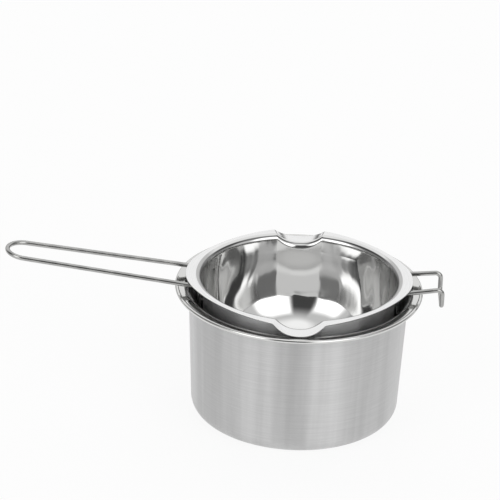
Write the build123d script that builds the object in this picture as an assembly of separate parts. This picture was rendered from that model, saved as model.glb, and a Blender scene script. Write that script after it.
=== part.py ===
from build123d import *
import math
import os

# A double boiler of sheet steel and round wire: a wide pot for the water and a smaller
# pouring bowl that hangs in it by its wire handle and wire hook.
# Lengths are in millimetres and angles in degrees. Z is up, the origin is the middle of the
# pot's base, the handle points along -X, the hook along +X and the spouts along -Y and +Y.

# Pot: one deep drawn sheet, slightly tapered, with a flared mouth and a rolled edge.
pot_gauge = 0.8
pot_height = 86.0
pot_taper = 4.0
pot_corner_radius = 9.0
pot_flare_radius = 4.2
ledge_width = 4.15
bead_radius = 1.3
bead_step = 0.4

# Bowl: one thinner sheet with a round bottom, a flat flange and two pouring spouts.
bowl_gauge = 0.7
bowl_depth = 62.0
bowl_wall_radius = 62.3
bowl_straight = 14.0
bowl_base_radius = 26.0
bowl_belly_power = 2.4
belly_stations = 16
mouth_bend_radius = 2.8

# Flange outline: eight tangent arcs, fullest towards the handle, the hook and the spouts.
flange_axis_width = 9.6
flange_diagonal_width = 5.8
flange_nose_offset = 21.9
quarter_turn = 90.0

# Spouts: the flange is pressed down and outwards in a rounded trough, and the wall below it
# is drawn in, nearly flat, down to the spout's root.
spout_half_angle = 13.2
spout_drop = 6.2
spout_push = 1.8
spout_flat = 0.9
spout_root = 13.6
spout_trough_power = 2.35
spout_station_shares = (-1.0, -0.75, -0.5, -0.25, 0.0, 0.25, 0.5, 0.75, 1.0)
seam_tolerance = 0.002

# Wire: both pieces are bent from one size of rod and stand off the wall by their welds.
wire_radius = 1.5
wire_end_round = 0.5
wire_tilt = 7.0
wire_root_bend = 4.0
leg_half_spacing = 14.5
leg_length = 25.0

# Handle: two legs that close in towards a round end.
handle_reach = 186.0
handle_end_radius = 11.5

# Hook: two short legs, turned down and joined by a bar.
hook_half_width = 12.5
hook_drop = 12.0
hook_bend = 3.2

# Welds: two small nuggets hold each leg a little off the wall.
weld_gap = 0.3
weld_radius = 1.1
weld_first_depth = 12.0
weld_pitch = 8.0

# Clearances: under the hanging bowl, between its wire legs and the pot's wall, and between
# the pot's rim and the hook's upright legs.
seat_clearance = 0.3
side_clearance = 3.4
hook_clearance = 10.0


def polar(radius, degrees):
    """A point of the plane at a radius and an angle from the first axis."""
    angle = math.radians(degrees)
    return (radius * math.cos(angle), radius * math.sin(angle))


def sheet(outer_line, gauge):
    """The section of a sheet whose outer side is the line and whose wall lies inside it."""
    inner_side = offset(outer_line, amount=gauge, side=Side.LEFT, closed=True)
    return make_face(inner_side)


# Pot, wide enough at its mouth for the bowl and the wire legs welded to it

wire_outer_radius = bowl_wall_radius + weld_gap + 2 * wire_radius
pot_top_radius = wire_outer_radius + side_clearance + pot_gauge
pot_foot_radius = pot_top_radius - pot_taper
ledge_height = pot_height - bead_step
ledge_underside = ledge_height - pot_gauge
wall_slope = math.atan2(ledge_underside, pot_top_radius - pot_foot_radius)
flare_start = pot_top_radius + (pot_flare_radius - pot_gauge) * math.tan(wall_slope / 2)
flare_centre = (flare_start, ledge_height - pot_flare_radius)
bead_centre = (flare_start + ledge_width, pot_height - bead_radius)
rim_radius = bead_centre[0] + bead_radius


def pot_body():
    """The pot's section turned about the Z axis: base, corner, tapered wall, flare and bead."""
    side = FilletPolyline(
        (0, 0),
        (pot_foot_radius, 0),
        (pot_top_radius, ledge_underside),
        (bead_centre[0], ledge_underside),
        radius=[pot_corner_radius, pot_flare_radius - pot_gauge],
    )
    wall = Plane.XZ * sheet(side, pot_gauge)
    bead = Plane.XZ * Pos(*bead_centre) * Circle(bead_radius)
    return revolve(wall, Axis.Z) + revolve(bead, Axis.Z)


# Bowl, drawn with the top of its flange at height zero and hung in the pot afterwards

flange_axis_radius = bowl_wall_radius + flange_axis_width
flange_diagonal_radius = bowl_wall_radius + flange_diagonal_width
flange_nose_radius = flange_axis_radius - flange_nose_offset
spout_angles = (-90.0, 90.0)


def arc_about(centre, radius, start, end):
    """A circular arc about a centre, from one angle to another."""
    stations = [polar(radius, start), polar(radius, (start + end) / 2), polar(radius, end)]
    points = [(centre[0] + x, centre[1] + y) for x, y in stations]
    return ThreePointArc(*points)


def bowl_side(inset):
    """One side of the bowl's section, set in from the outside: flat base, belly and wall.

    The belly is a smooth curve through points of a quarter oval, which is a little fuller
    than an ellipse and joins the flat base to the straight wall.
    """
    low = inset - bowl_depth
    out = bowl_wall_radius - inset
    width = out - bowl_base_radius
    height = -bowl_straight - low
    points = []
    for station in range(belly_stations + 1):
        turn = math.radians(quarter_turn * station / belly_stations)
        across = math.sin(turn) ** (2 / bowl_belly_power)
        down = abs(math.cos(turn)) ** (2 / bowl_belly_power)
        points.append((bowl_base_radius + width * across, -bowl_straight - height * down))
    base = Line((0, low), points[0])
    belly = Spline(*points, tangents=[(1, 0), (0, 1)])
    wall = Line(points[-1], (out, -spout_root))
    return [base, belly, wall]


def bowl_pan():
    """The bowl from its base up to the root of the spouts, turned about the Z axis."""
    outside = bowl_side(0)
    inside = bowl_side(bowl_gauge)
    root = Line(outside[-1] @ 1, inside[-1] @ 1)
    middle = Line(inside[0] @ 0, outside[0] @ 0)
    section = make_face([*outside, root, *reversed(inside), middle])
    return revolve(Plane.XZ * section, Axis.Z)


def bent_side(start, corner, end, bend):
    """A wall line and a flange line with a round bend between them, as three edges."""
    slope = math.atan2(corner[1] - start[1], corner[0] - start[0])
    rise = (math.cos(slope), math.sin(slope))
    reach = bend * math.tan(slope / 2)
    first = (corner[0] - rise[0] * reach, corner[1] - rise[1] * reach)
    last = (corner[0] + reach, corner[1])
    middle_angle = math.degrees(slope) / 2 + 90
    nose = polar(bend, middle_angle)
    middle = (last[0] + nose[0], last[1] - bend + nose[1])
    return [Line(start, first), ThreePointArc(first, middle, last), Line(last, end)]


def mouth_section(angle, outer_radius, share):
    """The wall's top, the bend and the flange in the upright plane at one angle.

    A share of 0 is the plain mouth, and 1 is the spout's full drop and flat.
    """
    drop = spout_drop * share
    flat = spout_flat * share
    under = -bowl_gauge - drop
    inner_wall = bowl_wall_radius - bowl_gauge
    outside = bent_side(
        (bowl_wall_radius, -spout_root),
        (bowl_wall_radius - flat, under),
        (outer_radius, under),
        mouth_bend_radius,
    )
    inside = bent_side(
        (inner_wall, -spout_root),
        (inner_wall - flat, -drop),
        (outer_radius, -drop),
        mouth_bend_radius + bowl_gauge,
    )
    edge = Line((outer_radius, under), (outer_radius, -drop))
    root = Line((inner_wall, -spout_root), (bowl_wall_radius, -spout_root))
    outline = [*outside, edge, *reversed(inside), root]
    east, north = polar(1, angle)
    upright = Plane(origin=(0, 0, 0), x_dir=(east, north, 0), z_dir=(north, -east, 0))
    return upright * make_face(outline)


def nose_outline(angle):
    """The flange's radius near a nose, at an angle from the middle of that nose."""
    across = flange_nose_offset * math.sin(math.radians(angle))
    along = flange_nose_offset * math.cos(math.radians(angle))
    return along + math.sqrt(flange_nose_radius**2 - across**2)


def spout(middle_angle):
    """One pouring spout, lofted through upright sections that sink towards its middle."""
    sections = []
    for station in spout_station_shares:
        share = 1 - abs(station) ** spout_trough_power
        angle = station * spout_half_angle
        outer_radius = nose_outline(angle) + spout_push * share
        sections.append(mouth_section(middle_angle + angle, outer_radius, share))
    return loft(sections)


def flange_outline():
    """The flange's plan: round noses on the axes joined by flatter arcs on the diagonals."""
    nose = flange_nose_radius
    offset_share = math.cos(math.radians(quarter_turn / 2))
    gain = flange_diagonal_radius - nose
    back = (flange_nose_offset**2 - gain**2) / (2 * (gain - flange_nose_offset * offset_share))
    side_centre = back * offset_share
    joint = math.degrees(math.atan2(side_centre, flange_nose_offset + side_centre))
    arcs = []
    for quarter in range(4):
        turn = quarter_turn * quarter
        nose_arc = arc_about((flange_nose_offset, 0), nose, -joint, joint)
        side_arc = arc_about(
            (-side_centre, -side_centre),
            flange_diagonal_radius + back,
            joint,
            quarter_turn - joint,
        )
        arcs.append(Rot(0, 0, turn) * nose_arc)
        arcs.append(Rot(0, 0, turn) * side_arc)
    return make_face(Wire([arc.edge() for arc in arcs]))


def flange_sides():
    """The plain stretches of the mouth and flange between the two spouts."""
    prism = extrude(Pos(0, 0, -spout_root) * flange_outline(), amount=spout_root)
    sweep_angle = 180 - 2 * spout_half_angle
    section = mouth_section(spout_angles[0] + spout_half_angle, flange_axis_radius, 0)
    half = revolve(section, Axis.Z, sweep_angle) & prism
    return [half, Rot(0, 0, 180) * half]


def bowl_shell():
    """The whole bowl: pan, plain mouth on both sides, and the spouts front and back."""
    spouts = [spout(angle) for angle in spout_angles]
    return bowl_pan().fuse(*flange_sides(), *spouts, tol=seam_tolerance)


# Wire pieces, drawn for a leg that leaves the wall along +X

leg_radius = bowl_wall_radius + weld_gap + wire_radius
leg_out = math.sqrt(leg_radius**2 - leg_half_spacing**2)
tilt_slope = math.tan(math.radians(wire_tilt))
wire_half_height = wire_radius / math.cos(math.radians(wire_tilt))
flange_edge_out = flange_nose_offset + math.sqrt(flange_nose_radius**2 - leg_half_spacing**2)
flange_edge_height = -bowl_gauge - weld_gap - wire_half_height
hook_reach = rim_radius + hook_clearance + 2 * wire_radius
leg_corner_height = flange_edge_height - (flange_edge_out - leg_out) * tilt_slope


def wire_height(out):
    """The height of the wire's centre line over a point that far from the Z axis."""
    return leg_corner_height + (out - leg_out) * tilt_slope


def bend_wire(path):
    """A round wire swept along its centre line, with its two cut ends eased."""
    start = Plane(origin=path @ 0, z_dir=path % 0)
    rod = sweep(start * Circle(wire_radius), path=path)
    ends = rod.faces().filter_by(GeomType.PLANE)
    return fillet(ends.edges(), wire_end_round)


def leg_points(sign):
    """The lower end and the top corner of one upright leg, on either side of the X axis."""
    y = sign * leg_half_spacing
    return (leg_out, y, -leg_length), (leg_out, y, leg_corner_height)


def handle_wire():
    """The handle: up the wall, out under the flange and round its far end."""
    end_out = handle_reach - wire_radius - handle_end_radius
    run = end_out - leg_out
    swing = math.atan2(leg_half_spacing, run)
    closing = swing - math.asin(handle_end_radius / math.hypot(run, leg_half_spacing))
    touch_out = end_out + handle_end_radius * math.sin(closing)
    touch_side = handle_end_radius * math.cos(closing)
    tip_out = end_out + handle_end_radius
    touches = [(touch_out, side, wire_height(touch_out)) for side in (-touch_side, touch_side)]
    near = FilletPolyline(*leg_points(-1), touches[0], radius=wire_root_bend)
    end = ThreePointArc(touches[0], (tip_out, 0, wire_height(tip_out)), touches[1])
    far = FilletPolyline(touches[1], *reversed(leg_points(1)), radius=wire_root_bend)
    return bend_wire(Wire([*near.edges(), *end.edges(), *far.edges()]))


def hook_wire():
    """The hook: up the wall, out past the pot's rim, down, and across to the other leg."""
    out = hook_reach - wire_radius
    top = wire_height(out)
    bottom = top - hook_drop
    low = hook_half_width
    corners = [
        *leg_points(-1),
        (out, -low, top),
        (out, -low, bottom),
        (out, low, bottom),
        (out, low, top),
        *reversed(leg_points(1)),
    ]
    bends = [wire_root_bend, *[hook_bend] * 4, wire_root_bend]
    return bend_wire(FilletPolyline(*corners, radius=bends))


def weld_nuggets(shell, wire):
    """The small welds that fill the gap between the wall and the wire's two legs."""
    nuggets = []
    swing = math.degrees(math.atan2(leg_half_spacing, leg_out))
    inside = bowl_wall_radius - bowl_gauge / 2
    for angle in (-swing, swing):
        for step in range(2):
            height = -weld_first_depth - weld_pitch * step
            face = Plane(origin=(*polar(inside, angle), height), z_dir=(*polar(1, angle), 0))
            plug = extrude(face * Circle(weld_radius), amount=leg_radius - inside)
            nuggets.append(plug - shell - wire)
    return Compound(children=[solid for nugget in nuggets for solid in nugget.solids()])


# The bowl hangs by its wires or by its spouts, whichever meets the pot's mouth first


def mouth_height(radius):
    """The height of the pot's mouth at a radius: flare, then ledge, then the rolled edge."""
    if radius > bead_centre[0] - bead_radius:
        return pot_height
    across = max(flare_centre[0] - radius, 0)
    return flare_centre[1] + math.sqrt(max(pot_flare_radius**2 - across**2, 0))


def height_on_wires(support_radius):
    """The height of the flange's top when the wires lie on a ring of the pot's mouth."""
    out = math.sqrt(support_radius**2 - leg_half_spacing**2)
    return mouth_height(support_radius) - wire_height(out) + wire_half_height


def height_on_spouts():
    """The height of the flange's top when the spouts' lips lie on the pot's mouth."""
    lip_radius = flange_axis_radius + spout_push
    return mouth_height(lip_radius) + spout_drop + bowl_gauge


flange_height = seat_clearance + max(
    height_on_wires(flare_centre[0]),
    height_on_wires(bead_centre[0]),
    height_on_spouts(),
)
hang = Pos(0, 0, flange_height)
turned = Rot(0, 0, 180)

shell = bowl_shell()
handle = turned * handle_wire()
hook = hook_wire()

parts = {
    "pot_body": pot_body(),
    "bowl_shell": hang * shell,
    "handle_wire": hang * handle,
    "hook_wire": hang * hook,
    "handle_welds": hang * turned * weld_nuggets(turned * shell, turned * handle),
    "hook_welds": hang * weld_nuggets(shell, hook),
}

os.makedirs("parts", exist_ok=True)
for name, shape in parts.items():
    export_step(shape, f"parts/{name}.step")
    print(name, len(shape.solids()), round(shape.volume, 1), shape.bounding_box())
print("flange height", round(flange_height, 3))
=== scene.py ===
import math

import bpy
import numpy as np
from mathutils import Matrix, Vector


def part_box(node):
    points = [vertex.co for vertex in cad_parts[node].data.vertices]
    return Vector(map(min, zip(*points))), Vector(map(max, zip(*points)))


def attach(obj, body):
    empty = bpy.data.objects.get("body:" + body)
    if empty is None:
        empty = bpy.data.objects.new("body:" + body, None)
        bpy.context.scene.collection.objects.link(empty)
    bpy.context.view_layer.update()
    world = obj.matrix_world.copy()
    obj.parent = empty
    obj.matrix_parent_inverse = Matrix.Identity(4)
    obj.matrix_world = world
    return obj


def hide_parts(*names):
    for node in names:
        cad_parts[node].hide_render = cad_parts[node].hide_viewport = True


# A sheet steel double boiler: a brushed water pot with a polished mouth, and a mirror
# polished pouring bowl that hangs in it by a wire handle and a wire hook.
# Lengths are in metres. Z is up and the origin is the middle of the pot's base.

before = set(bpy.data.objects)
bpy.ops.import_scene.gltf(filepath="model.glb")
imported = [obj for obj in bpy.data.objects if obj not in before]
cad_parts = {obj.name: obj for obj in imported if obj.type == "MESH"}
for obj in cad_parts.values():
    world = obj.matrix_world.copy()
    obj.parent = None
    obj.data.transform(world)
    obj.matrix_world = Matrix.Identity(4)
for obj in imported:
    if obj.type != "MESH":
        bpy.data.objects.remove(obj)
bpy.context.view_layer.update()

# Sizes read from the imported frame

pot_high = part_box("pot_body")[1]
bowl_low, bowl_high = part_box("bowl_shell")
handle_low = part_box("handle_wire")[0]
hook_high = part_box("hook_wire")[1]

# Pot

pot_gauge = 0.0008
pot_foot_radius = 0.0658
pot_top_radius = 0.0698
pot_corner_radius = 0.009
pot_flare_radius = 0.0042
mouth_polish_overrun = 0.002
bead_radius = 0.0013
bead_step = 0.0004
pot_height = pot_high.z
bead_out = pot_high.x - bead_radius

# Bowl, drawn with the top of its flange at height zero

bowl_gauge = 0.0007
bowl_wall_radius = 0.0623
bowl_base_radius = 0.026
bowl_straight = 0.014
bowl_belly_power = 2.4
mouth_bend_radius = 0.0028
flange_edge_ease = 0.0002
flange_top = bowl_high.z
bowl_depth = flange_top - bowl_low.z
flange_axis_radius = bowl_high.x
flange_diagonal_radius = 0.0681
flange_nose_offset = 0.0219
flange_nose_radius = flange_axis_radius - flange_nose_offset

# Rows of faces along one side of the bowl's sheet, and rings on each side of its edge

base_rows = 8
belly_rows = 45
wall_rows = 9
bend_rows = 9
flange_rows = 8
edge_rings = 3

# Spouts: a rounded trough in the flange, whose edge is pushed out, over a panel of the
# wall that is drawn in less and less downwards

spout_half_angle = math.radians(13.2)
spout_drop = 0.0062
spout_push = bowl_high.y - flange_axis_radius
spout_flat = 0.0009
spout_power = 2.35
spout_crease_ease = 0.09
spout_fade_depth = 0.052
spout_crowding = 0.3

# Wires

wire_radius = 0.0015
wire_end_ease = 0.0005
wire_tilt_slope = math.tan(math.radians(7.0))
wire_root_bend = 0.004
weld_gap = 0.0003
leg_half_spacing = 0.0145
leg_length = 0.025
handle_end_radius = 0.0115
hook_half_width = 0.0125
hook_drop = 0.012
hook_bend = 0.0032


# Curves


def eased_steps(count):
    """Numbers from 0 to 1 that lie closer at both ends: half of one minus the cosine."""
    return (1 - np.cos(np.linspace(0, math.pi, count))) / 2


def rounded_path(corners, bends, arc_step=math.radians(7), run_steps=10):
    """Points and unit tangents along straight runs joined by tangent arcs.

    An arc starts and ends at its radius times the tangent of half the turn away from its
    corner. Its points are its start plus the radius times the sine of the angle along the
    first run, plus the radius times one minus the cosine across it.
    """
    corners = [np.asarray(corner, float) for corner in corners]
    runs = [after - before for before, after in zip(corners, corners[1:])]
    ways = [run / np.linalg.norm(run) for run in runs]
    points = []
    tangents = []
    start = corners[0]
    for index, along in enumerate(ways):
        last = index == len(ways) - 1
        turn = 0.0 if last else math.acos(float(np.clip(along @ ways[index + 1], -1, 1)))
        reach = 0.0 if last else bends[index] * math.tan(turn / 2)
        end = corners[index + 1] - along * reach
        points.append(start + (end - start) * eased_steps(run_steps)[:, None])
        tangents.append(np.repeat(along[None], run_steps, 0))
        if last:
            break
        across = ways[index + 1] - along * math.cos(turn)
        across = across / np.linalg.norm(across)
        steps = max(math.ceil(turn / arc_step), 2)
        angle = np.linspace(0, turn, steps + 1)[1:-1, None]
        arc = np.sin(angle) * along + (1 - np.cos(angle)) * across
        points.append(end + bends[index] * arc)
        tangents.append(np.cos(angle) * along + np.sin(angle) * across)
        start = corners[index + 1] + ways[index + 1] * reach
    return np.concatenate(points), np.concatenate(tangents)


def circle_points(centre, radius, start, end, count):
    """Points on a circle: its centre plus the radius times the angle's cosine and sine."""
    angle = np.linspace(start, end, count)
    return np.stack(
        [centre[0] + radius * np.cos(angle), centre[1] + radius * np.sin(angle)], axis=1
    )


# Meshes


def closed_rings(rings, first_pole, last_pole):
    """Vertices and faces of a row of rings, closed by a fan of triangles at each end.

    The array holds ring, station round the ring, and coordinate. A vertex's number is its
    ring times the number of stations, plus its station, and the two poles come last.
    """
    ring_count, station_count = rings.shape[:2]
    vertices = np.concatenate([rings.reshape(-1, 3), [first_pole], [last_pole]])
    station = np.arange(station_count)
    following = (station + 1) % station_count
    ring = np.arange(ring_count - 1)[:, None] * station_count
    above = ring + station_count
    corners = [ring + station, ring + following, above + following, above + station]
    quads = np.stack(corners, axis=-1).reshape(-1, 4)
    top = (ring_count - 1) * station_count
    low = np.full(station_count, len(vertices) - 2)
    high = np.full(station_count, len(vertices) - 1)
    fans = [
        np.stack([low, following, station], axis=1),
        np.stack([high, top + station, top + following], axis=1),
    ]
    return vertices, [quads, *fans]


def turned_outwards(vertices, faces):
    """The same faces, turned round if they enclose a negative volume.

    The volume is a sixth of the sum, over the triangles of each face's fan, of the first
    corner dotted with the cross product of the other two.
    """
    volume = 0.0
    for group in faces:
        first = vertices[group[:, 0]]
        for corner in range(1, group.shape[1] - 1):
            second = vertices[group[:, corner]]
            third = vertices[group[:, corner + 1]]
            volume += np.einsum("ij,ij->", first, np.cross(second, third)) / 6
    return [group[:, ::-1] for group in faces] if volume < 0 else faces


def new_piece(name, rings, poles, materials, row_finishes=None):
    """A smooth closed mesh object of rings and two poles.

    The finishes give, for each row of faces between two rings, the number of its material.
    A pole's fan has the finish of the row next to it.
    """
    vertices, faces = closed_rings(rings, *poles)
    faces = turned_outwards(vertices, faces)
    mesh = bpy.data.meshes.new(name)
    mesh.from_pydata(vertices, [], [face for group in faces for face in group.tolist()])
    for material in materials:
        mesh.materials.append(material)
    if row_finishes is not None:
        stations = rings.shape[1]
        ends = np.repeat([row_finishes[0], row_finishes[-1]], stations)
        finishes = np.concatenate([np.repeat(row_finishes, stations), ends])
        mesh.polygons.foreach_set("material_index", finishes.astype(np.int32))
    mesh.polygons.foreach_set("use_smooth", np.ones(len(mesh.polygons), bool))
    mesh.update()
    piece = bpy.data.objects.new(name, mesh)
    bpy.context.scene.collection.objects.link(piece)
    return piece


def bent_rod(name, path, tangents, materials, sides=32, end_rings=5):
    """A round rod along a path, with eased ends.

    A ring's points are the path's point plus the radius times cosine along one normal and
    sine along the other. The first normal is a slanted direction, which the path never
    takes, less its part along the tangent, and the second is their cross product.
    """
    slanted = np.array([1.0, 0.7, 1.3])
    ease = np.linspace(0, math.pi / 2, end_rings)
    inset = wire_end_ease * (1 - np.cos(ease))[:, None]
    narrow = wire_radius - wire_end_ease * (1 - np.sin(ease))
    starts = path[0] + tangents[0] * inset
    ends = (path[-1] - tangents[-1] * inset)[::-1]
    centres = np.concatenate([starts, path[1:-1], ends])
    radii = np.concatenate([narrow, np.full(len(path) - 2, wire_radius), narrow[::-1]])
    repeats = np.ones(len(path), int)
    repeats[[0, -1]] = end_rings
    along = np.repeat(tangents, repeats, 0)
    first = slanted - along * (along @ slanted)[:, None]
    first = first / np.linalg.norm(first, axis=1)[:, None]
    second = np.cross(along, first)
    turn = np.linspace(0, 2 * math.pi, sides, endpoint=False)[None, :, None]
    spokes = np.cos(turn) * first[:, None] + np.sin(turn) * second[:, None]
    rings = centres[:, None] + radii[:, None, None] * spokes
    return new_piece(name, rings, (path[0], path[-1]), materials)


# Pot


def pot_body(brushed, polished, inside_brushed, stations=288, bead_points=26):
    """The pot turned about the Z axis: base, corner, tapered wall, flare, ledge and bead.

    The inside is the outside's path moved by the gauge along its left normal, and the
    bead is nearly a whole circle between the ledge's two faces. The mouth's polish runs
    over the flare's inside and a little way down the wall.
    """
    ledge_top = pot_height - bead_step
    ledge_under = ledge_top - pot_gauge
    bead_height = pot_height - bead_radius
    rises = (ledge_under - bead_height, ledge_top - bead_height)
    reaches = [math.sqrt(bead_radius**2 - rise**2) for rise in rises]
    bends = [pot_corner_radius, pot_flare_radius - pot_gauge]
    sides = []
    for reach in reaches:
        corners = [
            (0, 0),
            (pot_foot_radius, 0),
            (pot_top_radius, ledge_under),
            (bead_out - reach, ledge_under),
        ]
        sides.append(rounded_path(corners, bends))
    outside = sides[0][0]
    path, tangent = sides[1]
    inside = path + pot_gauge * np.stack([-tangent[:, 1], tangent[:, 0]], axis=1)
    start = math.pi - math.asin(rises[0] / bead_radius)
    end = 3 * math.pi - math.asin(rises[1] / bead_radius)
    bead = circle_points((bead_out, bead_height), bead_radius, start, end, bead_points)
    profile = np.concatenate([outside[1:], bead[1:-1], inside[:0:-1]])
    turn = np.linspace(0, 2 * math.pi, stations, endpoint=False)[None]
    radius = profile[:, :1]
    height = np.repeat(profile[:, 1:], stations, 1)
    rings = np.stack([radius * np.cos(turn), radius * np.sin(turn), height], axis=-1)
    middle = (profile[1:] + profile[:-1]) / 2
    polish_low = ledge_top - pot_flare_radius - mouth_polish_overrun
    at_mouth = (middle[:, 1] > polish_low) & (middle[:, 0] > pot_top_radius - pot_gauge)
    under = (middle[:, 1] < ledge_under) & (middle[:, 0] < bead_out - bead_radius)
    finishes = np.where(np.arange(len(middle)) < len(outside), 0, 2)
    finishes[at_mouth & ~under] = 1
    poles = ((0, 0, 0), (0, 0, pot_gauge))
    materials = [brushed, polished, inside_brushed]
    return new_piece("water_pot", rings, poles, materials, finishes)


# Bowl


def spout_share(turn):
    """How far the mouth is pressed at an angle: 1 in a spout's middle and 0 between spouts.

    It is one less the angle from the spout's middle, as a share of the half angle, to a
    power, and it is eased to zero by half of itself plus the root of its square plus a
    small square.
    """
    off_middle = np.abs(np.abs(turn) - math.pi / 2)
    left = 1 - (off_middle / spout_half_angle) ** spout_power
    return (left + np.sqrt(left**2 + spout_crease_ease**2)) / 2


def flange_radius(turn):
    """The flange's outline as a radius at an angle: round noses joined by flatter arcs.

    A circle whose centre lies off the axis has the radius of that offset times the cosine
    of the angle to it, plus the root of its own radius squared less the offset's part
    across. The noses' centres lie on the axes and the flatter arcs' on the diagonals.
    """
    nose = flange_nose_radius
    gain = flange_diagonal_radius - nose
    diagonal_share = math.sqrt(0.5)
    spare = gain - flange_nose_offset * diagonal_share
    back = (flange_nose_offset**2 - gain**2) / (2 * spare)
    side = flange_diagonal_radius + back
    lean = math.atan2(back * diagonal_share, flange_nose_offset + back * diagonal_share)
    touch = math.atan2(nose * math.sin(lean), flange_nose_offset + nose * math.cos(lean))
    quarter = np.mod(turn, math.pi / 2)
    off_nose = np.minimum(quarter, math.pi / 2 - quarter)
    off_diagonal = math.pi / 4 - off_nose
    on_nose = flange_nose_offset * np.cos(off_nose) + np.sqrt(
        nose**2 - (flange_nose_offset * np.sin(off_nose)) ** 2
    )
    on_side = -back * np.cos(off_diagonal) + np.sqrt(
        side**2 - (back * np.sin(off_diagonal)) ** 2
    )
    return np.where(off_nose < touch, on_nose, on_side)


def bowl_side(inset, turn):
    """One side of the bowl's sheet: radius and height for each row and each angle.

    The flat base runs out from the middle, and a quarter oval joins it to the wall: its
    widths and heights times the sine and the cosine, both to two over the belly's power.
    The wall is drawn in under a spout, evenly less with depth, a quarter circle bends it
    outwards, and the flange runs level to the outline, which the spout pushes out.
    """
    share = spout_share(turn)[None]
    low = inset - bowl_depth
    out = bowl_wall_radius - inset
    bend = mouth_bend_radius + inset
    bend_centre = -bowl_gauge - mouth_bend_radius - spout_drop * share
    base = eased_steps(base_rows + 1)[1:, None] * bowl_base_radius
    angle = np.linspace(0, math.pi / 2, belly_rows + 1)[1:, None]
    across = np.sin(angle) ** (2 / bowl_belly_power)
    down = np.abs(np.cos(angle)) ** (2 / bowl_belly_power)
    belly_radius = bowl_base_radius + (out - bowl_base_radius) * across
    belly_height = -bowl_straight + (bowl_straight + low) * down
    rise = eased_steps(wall_rows + 1)[1:, None]
    wall_height = -bowl_straight + (bend_centre + bowl_straight) * rise
    all_round = np.ones_like(share)
    radius = np.concatenate(
        [base * all_round, belly_radius * all_round, out + 0 * wall_height]
    )
    height = np.concatenate(
        [low + 0 * base * all_round, belly_height * all_round, wall_height]
    )
    fade = np.clip((height + spout_fade_depth) / (bend_centre + spout_fade_depth), 0, 1)
    radius = radius - spout_flat * share * fade
    angle = np.linspace(0, math.pi / 2, bend_rows + 1)[1:, None]
    centre_out = bowl_wall_radius + mouth_bend_radius - spout_flat * share
    bend_radius = centre_out - bend * np.cos(angle)
    bend_height = bend_centre + bend * np.sin(angle)
    edge = flange_radius(turn)[None] + spout_push * share - flange_edge_ease
    flange_out = centre_out + (edge - centre_out) * eased_steps(flange_rows + 1)[1:, None]
    flange_height = bend_centre + bend + 0 * flange_out
    radius = np.concatenate([radius, bend_radius, flange_out])
    height = np.concatenate([height, bend_height, flange_height])
    return radius, height


def bowl_shell(mirror, flange, satin, cut_and_shade, stations=560):
    """The bowl's two sides joined round the flange's eased edge, where the sheet was cut.

    The angle is a uniform one plus a part of the sine of twice it, so that the stations
    crowd together at the spouts. The rows have the mirror polish up to the flange, then
    the flange's, the cut edge's, darkened as a painted shade line, and the satin finish.
    """
    even = np.linspace(-math.pi, math.pi, stations, endpoint=False)
    turn = even + spout_crowding * np.sin(2 * even)
    inner_radius, inner_height = bowl_side(bowl_gauge, turn)
    outer_radius, outer_height = bowl_side(0, turn)
    ease = np.linspace(0, math.pi / 2, edge_rings + 1)[1:, None]
    top_radius = inner_radius[-1:] + flange_edge_ease * np.sin(ease)
    top_height = inner_height[-1:] - flange_edge_ease * (1 - np.cos(ease))
    low_radius = (outer_radius[-1:] + flange_edge_ease * np.sin(ease))[::-1]
    low_height = (outer_height[-1:] + flange_edge_ease * (1 - np.cos(ease)))[::-1]
    radius = np.concatenate([inner_radius, top_radius, low_radius, outer_radius[::-1]])
    height = np.concatenate([inner_height, top_height, low_height, outer_height[::-1]])
    rings = np.stack(
        [radius * np.cos(turn), radius * np.sin(turn), height + flange_top], axis=-1
    )
    side_rings = len(inner_radius)
    counts = [side_rings - flange_rows, flange_rows + 1, 2 * edge_rings - 2, side_rings]
    finishes = np.repeat([0, 1, 3, 2], counts)
    poles = (
        (0, 0, flange_top - bowl_depth + bowl_gauge),
        (0, 0, flange_top - bowl_depth),
    )
    return new_piece("pouring_bowl", rings, poles, [mirror, flange, satin, cut_and_shade], finishes)


# Wires, drawn for legs that leave the bowl's wall along +X

leg_centre_radius = bowl_wall_radius + weld_gap + wire_radius
leg_out = math.sqrt(leg_centre_radius**2 - leg_half_spacing**2)
edge_past_nose_centre = math.sqrt(flange_nose_radius**2 - leg_half_spacing**2)
flange_edge_out = flange_nose_offset + edge_past_nose_centre
wire_half_height = wire_radius * math.sqrt(1 + wire_tilt_slope**2)
flange_edge_height = flange_top - bowl_gauge - weld_gap - wire_half_height


def wire_height(out):
    """The height of the wire's centre line over a point that far from the Z axis."""
    return flange_edge_height + (out - flange_edge_out) * wire_tilt_slope


def leg_corners(side):
    """The lower end and the top corner of one upright leg."""
    return [
        (leg_out, side * leg_half_spacing, flange_top - leg_length),
        (leg_out, side * leg_half_spacing, wire_height(leg_out)),
    ]


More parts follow.
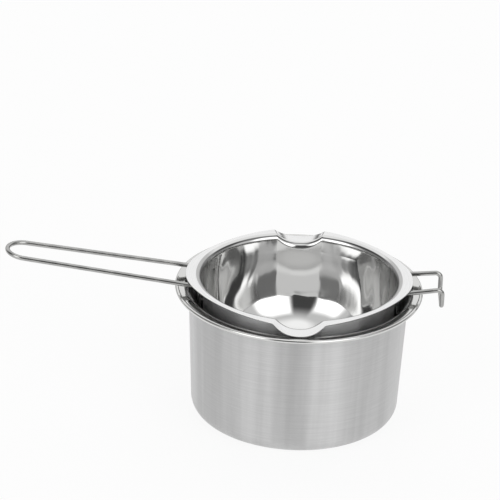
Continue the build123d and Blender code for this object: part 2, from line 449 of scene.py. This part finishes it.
def handle_wire(material, end_points=16):
    """The handle: up the wall, out under the flange and round its far end, along -X.

    One half is a rounded path and an arc about the end's centre, lifted to the tilted
    plane. The other half is its mirror image, taken backwards.
    """
    end_out = -handle_low.x - wire_radius - handle_end_radius
    run = end_out - leg_out
    swing = math.atan2(leg_half_spacing, run)
    closing = swing - math.asin(handle_end_radius / math.hypot(run, leg_half_spacing))
    start = closing - math.pi / 2
    touch_out = end_out + handle_end_radius * math.cos(start)
    touch = (touch_out, handle_end_radius * math.sin(start), wire_height(touch_out))
    path, tangents = rounded_path([*leg_corners(-1), touch], [wire_root_bend], run_steps=14)
    arc = circle_points((end_out, 0), handle_end_radius, start, 0, end_points)[1:]
    lifted = np.column_stack([arc, wire_height(arc[:, 0])])
    angle = np.linspace(start, 0, end_points)[1:]
    onwards = -np.sin(angle)
    ways = np.stack([onwards, np.cos(angle), onwards * wire_tilt_slope], axis=1)
    ways = ways / np.linalg.norm(ways, axis=1)[:, None]
    half = np.concatenate([path, lifted])
    half_ways = np.concatenate([tangents, ways])
    mirror = np.array([1, -1, 1])
    whole = np.concatenate([half, (half * mirror)[-2::-1]])
    whole_ways = np.concatenate([half_ways, -(half_ways * mirror)[-2::-1]])
    turned = np.array([-1, -1, 1])
    return bent_rod("handle_rod", whole * turned, whole_ways * turned, [material])


def hook_wire(material):
    """The hook: up the wall, out past the pot's rim, down, and across to the other leg."""
    out = hook_high.x - wire_radius
    top = wire_height(out)
    low = top - hook_drop
    corners = [
        *leg_corners(-1),
        (out, -hook_half_width, top),
        (out, -hook_half_width, low),
        (out, hook_half_width, low),
        (out, hook_half_width, top),
        *reversed(leg_corners(1)),
    ]
    bends = [wire_root_bend, *[hook_bend] * 4, wire_root_bend]
    path, tangents = rounded_path(corners, bends)
    return bent_rod("hook_rod", path, tangents, [material])


# Shader nodes

noise_low, noise_middle, noise_high = 0.35, 0.5, 0.65
quarter_turn = 0.25


def give(tree, node, inputs):
    """Set a node's inputs to their values, or join them to other nodes' outputs."""
    for name, value in inputs.items():
        if isinstance(value, bpy.types.NodeSocket):
            tree.links.new(value, node.inputs[name])
        else:
            node.inputs[name].default_value = value


def put(tree, kind, inputs=None, **settings):
    """A new node, with its settings made and its inputs given."""
    node = tree.nodes.new(kind)
    for name, value in settings.items():
        setattr(node, name, value)
    give(tree, node, inputs or {})
    return node


def sum_up(tree, operation, *values):
    """The output of a Math node with the given operation and values."""
    inputs = dict(enumerate(values))
    return put(tree, "ShaderNodeMath", inputs, operation=operation).outputs[0]


def vector_sum(tree, operation, *values):
    """The outputs of a Vector Math node with the given operation and values."""
    inputs = dict(enumerate(values))
    return put(tree, "ShaderNodeVectorMath", inputs, operation=operation).outputs


def new_group(name, inputs, outputs):
    """An empty shader node group, with the nodes for its inputs and its outputs."""
    group = bpy.data.node_groups.new(name, "ShaderNodeTree")
    for socket, kind in inputs:
        group.interface.new_socket(socket, in_out="INPUT", socket_type=kind)
    for socket, kind in outputs:
        group.interface.new_socket(socket, in_out="OUTPUT", socket_type=kind)
    return group, group.nodes.new("NodeGroupInput"), group.nodes.new("NodeGroupOutput")


def circular_brushing():
    """Fine lines round the Z axis, broken into streaks.

    Noise is read at the place's direction from the axis times the streaks, and at its
    radius plus its height times the lines, so that it changes slowly round the piece and
    quickly up a wall or out over a base.
    """
    group, given, result = new_group(
        "circular brushing",
        [
            ("Place", "NodeSocketVector"),
            ("Lines", "NodeSocketFloat"),
            ("Streaks", "NodeSocketFloat"),
        ],
        [("Height", "NodeSocketFloat")],
    )
    place = put(group, "ShaderNodeSeparateXYZ", {0: given.outputs["Place"]}).outputs
    level = put(group, "ShaderNodeCombineXYZ", {0: place[0], 1: place[1]}).outputs[0]
    radius = vector_sum(group, "LENGTH", level)["Value"]
    way = vector_sum(group, "NORMALIZE", level)["Vector"]
    round_way = put(
        group,
        "ShaderNodeVectorMath",
        {0: way, "Scale": given.outputs["Streaks"]},
        operation="SCALE",
    )
    profile = sum_up(group, "ADD", radius, place[2])
    across = sum_up(group, "MULTIPLY", profile, given.outputs["Lines"])
    lift = put(group, "ShaderNodeCombineXYZ", {2: across}).outputs[0]
    point = vector_sum(group, "ADD", round_way.outputs["Vector"], lift)["Vector"]
    noise = put(
        group,
        "ShaderNodeTexNoise",
        {"Vector": point, "Scale": 1.0, "Detail": 3.0, "Roughness": 0.6},
    )
    give(group, result, {"Height": noise.outputs["Fac"]})
    return group


def soft_dents():
    """Shallow unevenness of pressed and polished sheet, drawn out along the Z axis.

    Noise is read at the place times the count of dents in a metre, with the height
    squeezed by the stretch.
    """
    group, given, result = new_group(
        "soft dents",
        [
            ("Place", "NodeSocketVector"),
            ("Count", "NodeSocketFloat"),
            ("Stretch", "NodeSocketFloat"),
        ],
        [("Height", "NodeSocketFloat")],
    )
    squeeze = sum_up(group, "DIVIDE", 1.0, given.outputs["Stretch"])
    scale = put(group, "ShaderNodeCombineXYZ", {0: 1.0, 1: 1.0, 2: squeeze}).outputs[0]
    point = vector_sum(group, "MULTIPLY", given.outputs["Place"], scale)["Vector"]
    count = given.outputs["Count"]
    noise = put(
        group,
        "ShaderNodeTexNoise",
        {"Vector": point, "Scale": count, "Detail": 1.0, "Roughness": 0.4},
    )
    give(group, result, {"Height": noise.outputs["Fac"]})
    return group


def place_group(tree, group, place, **values):
    """The first output of a shared group, placed in a material with its own values."""
    inputs = {"Place": place, **values}
    return put(tree, "ShaderNodeGroup", inputs, node_tree=group).outputs[0]


def ranged(tree, value, low, high, start=noise_low, end=noise_high, curve="LINEAR"):
    """A value taken to a new range from an old one, by default the one noise keeps to."""
    inputs = {0: value, 1: start, 2: end, 3: low, 4: high}
    return put(tree, "ShaderNodeMapRange", inputs, interpolation_type=curve).outputs[0]


def window(tree, value, middle, half_width, ease):
    """One within a half width of a middle and zero beyond, with an ease on each side."""
    off = sum_up(tree, "ABSOLUTE", sum_up(tree, "SUBTRACT", value, middle))
    return ranged(tree, off, 1.0, 0.0, half_width - ease, half_width + ease, "SMOOTHSTEP")


def grey(level):
    """Red, green and blue, all at one level."""
    return (level, level, level)


def blended(tree, share, first, second):
    """A colour between two, by the second's share. Each is an output or three numbers."""
    inputs = {0: share}
    for number, colour in ((6, first), (7, second)):
        joined = isinstance(colour, bpy.types.NodeSocket)
        inputs[number] = colour if joined else (*colour, 1)
    return put(tree, "ShaderNodeMix", inputs, data_type="RGBA").outputs[2]


def tinted(tree, value, dark, light):
    """A colour between a dark and a light one, by a noise's value."""
    return blended(tree, ranged(tree, value, 0, 1), dark, light)


def bumped(tree, height, distance, under=None):
    """A normal raised by a height, over another normal if one is given."""
    inputs = {"Height": height, "Distance": distance, "Strength": 1.0}
    if under is not None:
        inputs["Normal"] = under
    return put(tree, "ShaderNodeBump", inputs).outputs["Normal"]


def new_steel(name):
    """A material with a metallic shader: its tree, its shader and the object's place."""
    material = bpy.data.materials.new(name)
    material.use_nodes = True
    tree = material.node_tree
    shader = tree.nodes["Principled BSDF"]
    shader.inputs["Metallic"].default_value = 1.0
    place = put(tree, "ShaderNodeTexCoord").outputs["Object"]
    return material, tree, shader, place


def brush_round(tree, shader, stretch):
    """Stretch the highlights up the wall, across lines that run round the Z axis."""
    round_axis = put(tree, "ShaderNodeTangent", direction_type="RADIAL", axis="Z")
    brush = {
        "Anisotropic": stretch,
        "Anisotropic Rotation": quarter_turn,
        "Tangent": round_axis.outputs[0],
    }
    give(tree, shader, brush)


# The bowl's inside: its warp and its duller polish grow between two distances to either
# side of the plane through the spouts, and the warp fades between two depths below the
# flange's top

warp_start, warp_full = 0.036, 0.056
warp_least, warp_most = 0.4, 1.2
warp_fade_depth, warp_end_depth = 0.011, 0.004
dull_start, dull_full = 0.054, 0.059
dull_roughness = 0.24
# A thin painted reflection: a dark line round the foot of the mouth's bend, at one distance
# from the axis
painted_reflection_line_radius = bowl_wall_radius + 0.0004
painted_reflection_line_half_width = 0.0004
painted_reflection_line_ease = 0.0002

# The bowl's outside: the painted shade stripe behind each leg, above the leg's end and on
# the wall alone

leg_shade_half_width = 0.0014
leg_shade_ease = 0.0005
leg_shade_fade = 0.001
leg_shade_start, leg_shade_full = 0.05, 0.055

# Finishes

brushing = circular_brushing()
dents = soft_dents()


def brushed_steel(name, greys, roughness, stretch, dent, line, bands):
    """A wall brushed round with a fine wheel, so that its highlights stretch upwards.

    Its grey follows the fine lines, with a share of upright bands, as the wheel left them.
    """
    material, tree, shader, place = new_steel(name)
    lines = place_group(tree, brushing, place, Lines=1300.0, Streaks=2.5)
    upright = place_group(tree, brushing, place, Lines=4.0, Streaks=5.5)
    uneven = place_group(tree, dents, place, Count=60.0, Stretch=8.0)
    patchy = put(tree, "ShaderNodeMix", {0: bands, 2: lines, 3: upright}).outputs[0]
    finish = {
        "Base Color": tinted(tree, patchy, *map(grey, greys)),
        "Roughness": ranged(tree, lines, *roughness),
        "Normal": bumped(tree, lines, line, bumped(tree, uneven, dent)),
    }
    give(tree, shader, finish)
    brush_round(tree, shader, stretch)
    return material


def polished_mouth_steel():
    """The pot's flare, ledge and bead, polished after the wall was brushed."""
    material, tree, shader, place = new_steel("polished mouth steel")
    uneven = place_group(tree, dents, place, Count=60.0, Stretch=1.0)
    finish = {
        "Base Color": (0.66, 0.66, 0.65, 1),
        "Roughness": ranged(tree, uneven, 0.06, 0.12),
        "Normal": bumped(tree, uneven, 0.00003),
    }
    give(tree, shader, finish)
    return material


def mirror_bowl_steel():
    """The bowl's inside, mirror polished, and drawn uneven by the welds on either side.

    The unevenness is noise times a strength that grows sideways and fades at the mouth.
    Close to the welds the polish is duller and darker. A thin dark line, a painted
    reflection, runs round the foot of the mouth's bend, at one distance from the axis.
    """
    material, tree, shader, place = new_steel("mirror bowl steel")
    uneven = place_group(tree, dents, place, Count=45.0, Stretch=3.0)
    parts = put(tree, "ShaderNodeSeparateXYZ", {0: place}).outputs
    sideways = sum_up(tree, "ABSOLUTE", parts[0])
    near_welds = ranged(tree, sideways, warp_least, warp_most, warp_start, warp_full)
    fade = (flange_top - warp_fade_depth, flange_top - warp_end_depth)
    below_mouth = ranged(tree, parts[2], 1, 0, *fade)
    strength = sum_up(tree, "MULTIPLY", near_welds, below_mouth)
    off_middle = sum_up(tree, "SUBTRACT", uneven, noise_middle)
    warp = sum_up(tree, "MULTIPLY", off_middle, strength)
    level = vector_sum(tree, "MULTIPLY", place, (1, 1, 0))["Vector"]
    radius = vector_sum(tree, "LENGTH", level)["Value"]
    line = window(
        tree, radius, painted_reflection_line_radius, painted_reflection_line_half_width, painted_reflection_line_ease
    )
    dull = ranged(tree, sideways, 0, 1, dull_start, dull_full)
    steel = blended(tree, dull, (0.72, 0.72, 0.715), (0.48, 0.48, 0.475))
    polish = ranged(tree, uneven, 0.05, 0.08)
    finish = {
        # Painted reflection: the thin line round the mouth's bend is grey 0.22
        "Base Color": blended(tree, line, steel, grey(0.22)),
        "Roughness": sum_up(tree, "MULTIPLY_ADD", dull, dull_roughness, polish),
        "Normal": bumped(tree, warp, 0.003),
    }
    give(tree, shader, finish)
    return material


def flange_steel():
    """The bowl's flange, polished to an even sheen."""
    material, tree, shader, place = new_steel("flange steel")
    lines = place_group(tree, brushing, place, Lines=2500.0, Streaks=3.0)
    finish = {
        "Base Color": tinted(tree, lines, grey(0.79), grey(0.86)),
        "Roughness": ranged(tree, lines, 0.12, 0.2),
        "Normal": bumped(tree, lines, 0.000003),
    }
    give(tree, shader, finish)
    return material


def cut_edge_and_shade_steel():
    """The flange's cut edge, rougher than the sheet's faces, and dark as a painted shade
    line round the flange.
    """
    material, tree, shader, place = new_steel("cut edge and painted shade steel")
    lines = place_group(tree, brushing, place, Lines=2500.0, Streaks=3.0)
    finish = {
        # Painted shade: the edge's dark greys stand in for the shade line along the
        # flange's edge
        "Base Color": tinted(tree, lines, grey(0.22), grey(0.30)),
        "Roughness": ranged(tree, lines, 0.3, 0.4),
    }
    give(tree, shader, finish)
    return material


def satin_bowl_steel():
    """The bowl's outside, satin with soft cloudy patches, and with painted shade behind the
    wires' legs.

    The painted shade is a dark stripe where the place is off the middle by the legs'
    spacing and lies no lower than their ends, standing in for the shade where each leg lies
    on the wall.
    """
    material, tree, shader, place = new_steel("satin bowl steel")
    parts = put(tree, "ShaderNodeSeparateXYZ", {0: place}).outputs
    off_middle = sum_up(tree, "ABSOLUTE", parts[1])
    behind_leg = window(
        tree, off_middle, leg_half_spacing, leg_shade_half_width, leg_shade_ease
    )
    leg_end = flange_top - leg_length
    above_end = ranged(tree, parts[2], 0, 1, leg_end, leg_end + leg_shade_fade)
    sideways = sum_up(tree, "ABSOLUTE", parts[0])
    at_wall = ranged(tree, sideways, 0, 1, leg_shade_start, leg_shade_full)
    beside = sum_up(tree, "MULTIPLY", above_end, at_wall)
    # Painted shade: a dark stripe behind each leg, where the leg shades the wall
    painted_leg_shade = sum_up(tree, "MULTIPLY", behind_leg, beside)
    cloudy = place_group(tree, dents, place, Count=70.0, Stretch=1.4)
    lines = place_group(tree, brushing, place, Lines=1800.0, Streaks=7.0)
    bright = tinted(tree, cloudy, grey(0.72), grey(0.84))
    finish = {
        # Painted shade: grey 0.12 on the stripe behind each leg
        "Base Color": blended(tree, painted_leg_shade, bright, grey(0.12)),
        "Roughness": ranged(tree, cloudy, 0.50, 0.38),
        "Normal": bumped(tree, lines, 0.000002, bumped(tree, cloudy, 0.0008)),
    }
    give(tree, shader, finish)
    brush_round(tree, shader, 0.6)
    return material


def polished_wire_steel():
    """The bent rods, drawn and polished."""
    material, tree, shader, place = new_steel("polished wire steel")
    uneven = place_group(tree, dents, place, Count=150.0, Stretch=1.0)
    finish = {
        "Base Color": tinted(tree, uneven, (0.37, 0.37, 0.365), (0.46, 0.46, 0.45)),
        "Roughness": ranged(tree, uneven, 0.12, 0.2),
        "Normal": bumped(tree, uneven, 0.00003),
    }
    give(tree, shader, finish)
    return material


def weld_steel():
    """The small welds, rough and darkened by heat."""
    material, tree, shader, place = new_steel("weld steel")
    uneven = place_group(tree, dents, place, Count=900.0, Stretch=1.0)
    finish = {
        "Base Color": tinted(tree, uneven, (0.20, 0.19, 0.18), (0.45, 0.44, 0.43)),
        "Roughness": ranged(tree, uneven, 0.4, 0.6),
        "Normal": bumped(tree, uneven, 0.00005),
    }
    give(tree, shader, finish)
    return material


# Pieces

wire_finish = polished_wire_steel()
pot_outside = brushed_steel(
    "brushed pot steel",
    (0.54, 0.69),
    (0.38, 0.44),
    stretch=0.85,
    dent=0.0008,
    line=0.000001,
    bands=0.6,
)
pot_inside = brushed_steel(
    "brushed inside steel",
    (0.32, 0.79),
    (0.28, 0.30),
    stretch=0.9,
    dent=0.0003,
    line=0.0000001,
    bands=0.93,
)
water_pot = pot_body(pot_outside, polished_mouth_steel(), pot_inside)
bowl_finishes = (mirror_bowl_steel(), flange_steel(), satin_bowl_steel(), cut_edge_and_shade_steel())
pouring_bowl = bowl_shell(*bowl_finishes)
pieces = [
    (water_pot, "pot", "pot_body", "pot_steel"),
    (pouring_bowl, "bowl", "bowl_shell", "bowl_steel"),
    (handle_wire(wire_finish), "bowl", "handle_wire", "wire_steel"),
    (hook_wire(wire_finish), "bowl", "hook_wire", "wire_steel"),
]
for piece, body, node, slot in pieces:
    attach(piece, body)
    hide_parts(node)

weld_finish = weld_steel()
for node in ("handle_welds", "hook_welds"):
    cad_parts[node].data.materials.clear()
    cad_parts[node].data.materials.append(weld_finish)

# Studio: a grey room with a white backdrop behind, a bright ceiling, two soft boxes in
# front with a dark gap between them, dark sides, and a dark skirting all round but in
# front. Angles are in degrees, bearings to the right of the front, elevations above level.

room_level = 0.7
backdrop_level = 1.0
ceiling_level = 1.2
left_side_level = 0.25
right_side_level = 0.3
soft_box_level = 2.0
gap_level = 0.07
skirting_level = 0.15

# Panes of the room: the middle, the half size and the ease of the edge, each as a bearing
# and an elevation, and the level

room_panes = [
    ((-100, 30), (22, 38), (6, 10), left_side_level),
    ((104, 22), (18, 30), (6, 10), right_side_level),
    ((-46, 27), (17, 20), (7, 9), soft_box_level),
    ((37, 34), (21, 21), (7, 9), soft_box_level),
    ((-7, 25), (18, 29), (6, 16), gap_level),
]

# Bands of the room: the middle, the half width and the ease of the edge

backdrop_bearings = (180, 55, 8)
skirting_bearings = (180, 125, 6)
skirting_elevations = (0, 9, 4)
ceiling_elevations = (90, 17, 10)

# The floor lies a hair below the pot's base, so that their faces don't share a plane

floor_half_side = 8.0
floor_gap = 0.0002
floor_own_light = 0.9


def band(tree, angle, middle, half_width, ease):
    """A window over an angle, with its numbers in degrees."""
    return window(tree, angle, *np.radians([middle, half_width, ease]).tolist())


def pane(tree, bearing, elevation, middle, size, ease):
    """A rectangle of the room: the product of a band in bearing and one in elevation."""
    across = band(tree, bearing, middle[0], size[0], ease[0])
    upright = band(tree, elevation, middle[1], size[1], ease[1])
    return sum_up(tree, "MULTIPLY", across, upright)


def painted(tree, level, mask, new_level):
    """A level changed to a new one where the mask is one."""
    change = sum_up(tree, "SUBTRACT", new_level, level)
    return sum_up(tree, "MULTIPLY_ADD", mask, change, level)


def build_studio():
    """The world: the room by bearing and elevation, and white to the camera.

    Surfaces find its light by their own rays alone, and it isn't sampled as a lamp.
    """
    world = bpy.data.worlds.new("studio")
    bpy.context.scene.world = world
    world.use_nodes = True
    tree = world.node_tree
    way = put(tree, "ShaderNodeTexCoord").outputs["Generated"]
    parts = put(tree, "ShaderNodeSeparateXYZ", {0: way}).outputs
    ahead = sum_up(tree, "MULTIPLY", parts[1], -1.0)
    bearing = sum_up(tree, "ARCTAN2", parts[0], ahead)
    elevation = sum_up(tree, "ARCSINE", parts[2])
    sideways = sum_up(tree, "ABSOLUTE", bearing)
    behind = band(tree, sideways, *backdrop_bearings)
    level = painted(tree, room_level, behind, backdrop_level)
    for middle, size, ease, pane_level in room_panes:
        mask = pane(tree, bearing, elevation, middle, size, ease)
        level = painted(tree, level, mask, pane_level)
    low = band(tree, elevation, *skirting_elevations)
    beside = band(tree, sideways, *skirting_bearings)
    level = painted(tree, level, sum_up(tree, "MULTIPLY", low, beside), skirting_level)
    overhead = band(tree, elevation, *ceiling_elevations)
    level = painted(tree, level, overhead, ceiling_level)
    camera = put(tree, "ShaderNodeLightPath").outputs["Is Camera Ray"]
    level = painted(tree, level, camera, 1.0)
    give(tree, tree.nodes["Background"], {"Color": level})
    world.cycles.sampling_method = "NONE"


def build_floor():
    """A white floor, most of whose light is its own to the camera and in reflections."""
    around = np.array([(-1, -1), (1, -1), (1, 1), (-1, 1)]) * floor_half_side
    corners = np.column_stack([around, np.full(4, -floor_gap)])
    mesh = bpy.data.meshes.new("studio_floor")
    mesh.from_pydata(corners, [], [(0, 1, 2, 3)])
    material = bpy.data.materials.new("white floor")
    material.use_nodes = True
    tree = material.node_tree
    tree.nodes.remove(tree.nodes["Principled BSDF"])
    path = put(tree, "ShaderNodeLightPath").outputs
    seen = sum_up(tree, "MAXIMUM", path["Is Camera Ray"], path["Is Glossy Ray"])
    own = sum_up(tree, "MULTIPLY", seen, floor_own_light)
    matt = put(tree, "ShaderNodeBsdfDiffuse", {"Color": (0.95, 0.95, 0.95, 1)})
    white = put(tree, "ShaderNodeEmission", {"Color": (1, 1, 1, 1), "Strength": 1.0})
    inputs = {0: own, 1: matt.outputs[0], 2: white.outputs[0]}
    mix = put(tree, "ShaderNodeMixShader", inputs).outputs[0]
    give(tree, tree.nodes["Material Output"], {"Surface": mix})
    mesh.materials.append(material)
    floor = bpy.data.objects.new("studio_floor", mesh)
    bpy.context.scene.collection.objects.link(floor)


build_studio()
build_floor()

# Camera: from the front and above, rolled a little, so that the pot's rim falls on its
# place in the photograph's frame

photo_side = 500
pixels_per_metre = 1581.0
rim_centre_pixel = (299.0, 285.5)
camera_elevation = math.radians(25)
camera_roll = math.radians(2.2)
camera_distance = 2.0


def build_camera():
    """A long lens aimed so that the centre of the pot's rim lands on its pixel."""
    right = Vector((1, 0, 0))
    up = Vector((0, math.sin(camera_elevation), math.cos(camera_elevation)))
    towards = Vector((0, math.cos(camera_elevation), -math.sin(camera_elevation)))
    rolled_right = right * math.cos(camera_roll) + up * math.sin(camera_roll)
    rolled_up = up * math.cos(camera_roll) - right * math.sin(camera_roll)
    across = (rim_centre_pixel[0] - photo_side / 2) / pixels_per_metre
    down = (rim_centre_pixel[1] - photo_side / 2) / pixels_per_metre
    rim_centre = Vector((0, 0, pot_height))
    aim = rim_centre - rolled_right * across + rolled_up * down
    camera = bpy.data.objects.new("camera", bpy.data.cameras.new("camera"))
    sensor_width = camera.data.sensor_width
    camera.data.lens = sensor_width * pixels_per_metre * camera_distance / photo_side
    turn = Matrix((rolled_right, rolled_up, -towards)).transposed()
    place = Matrix.Translation(aim - towards * camera_distance)
    camera.matrix_world = place @ turn.to_4x4()
    bpy.context.scene.collection.objects.link(camera)
    bpy.context.scene.camera = camera


build_camera()
bpy.context.scene.view_settings.view_transform = "Standard"

# The facing polished walls of pot and bowl mirror one another many times over, and with
# fewer reflections the gap between them would turn black

bpy.context.scene.cycles.glossy_bounces = 12
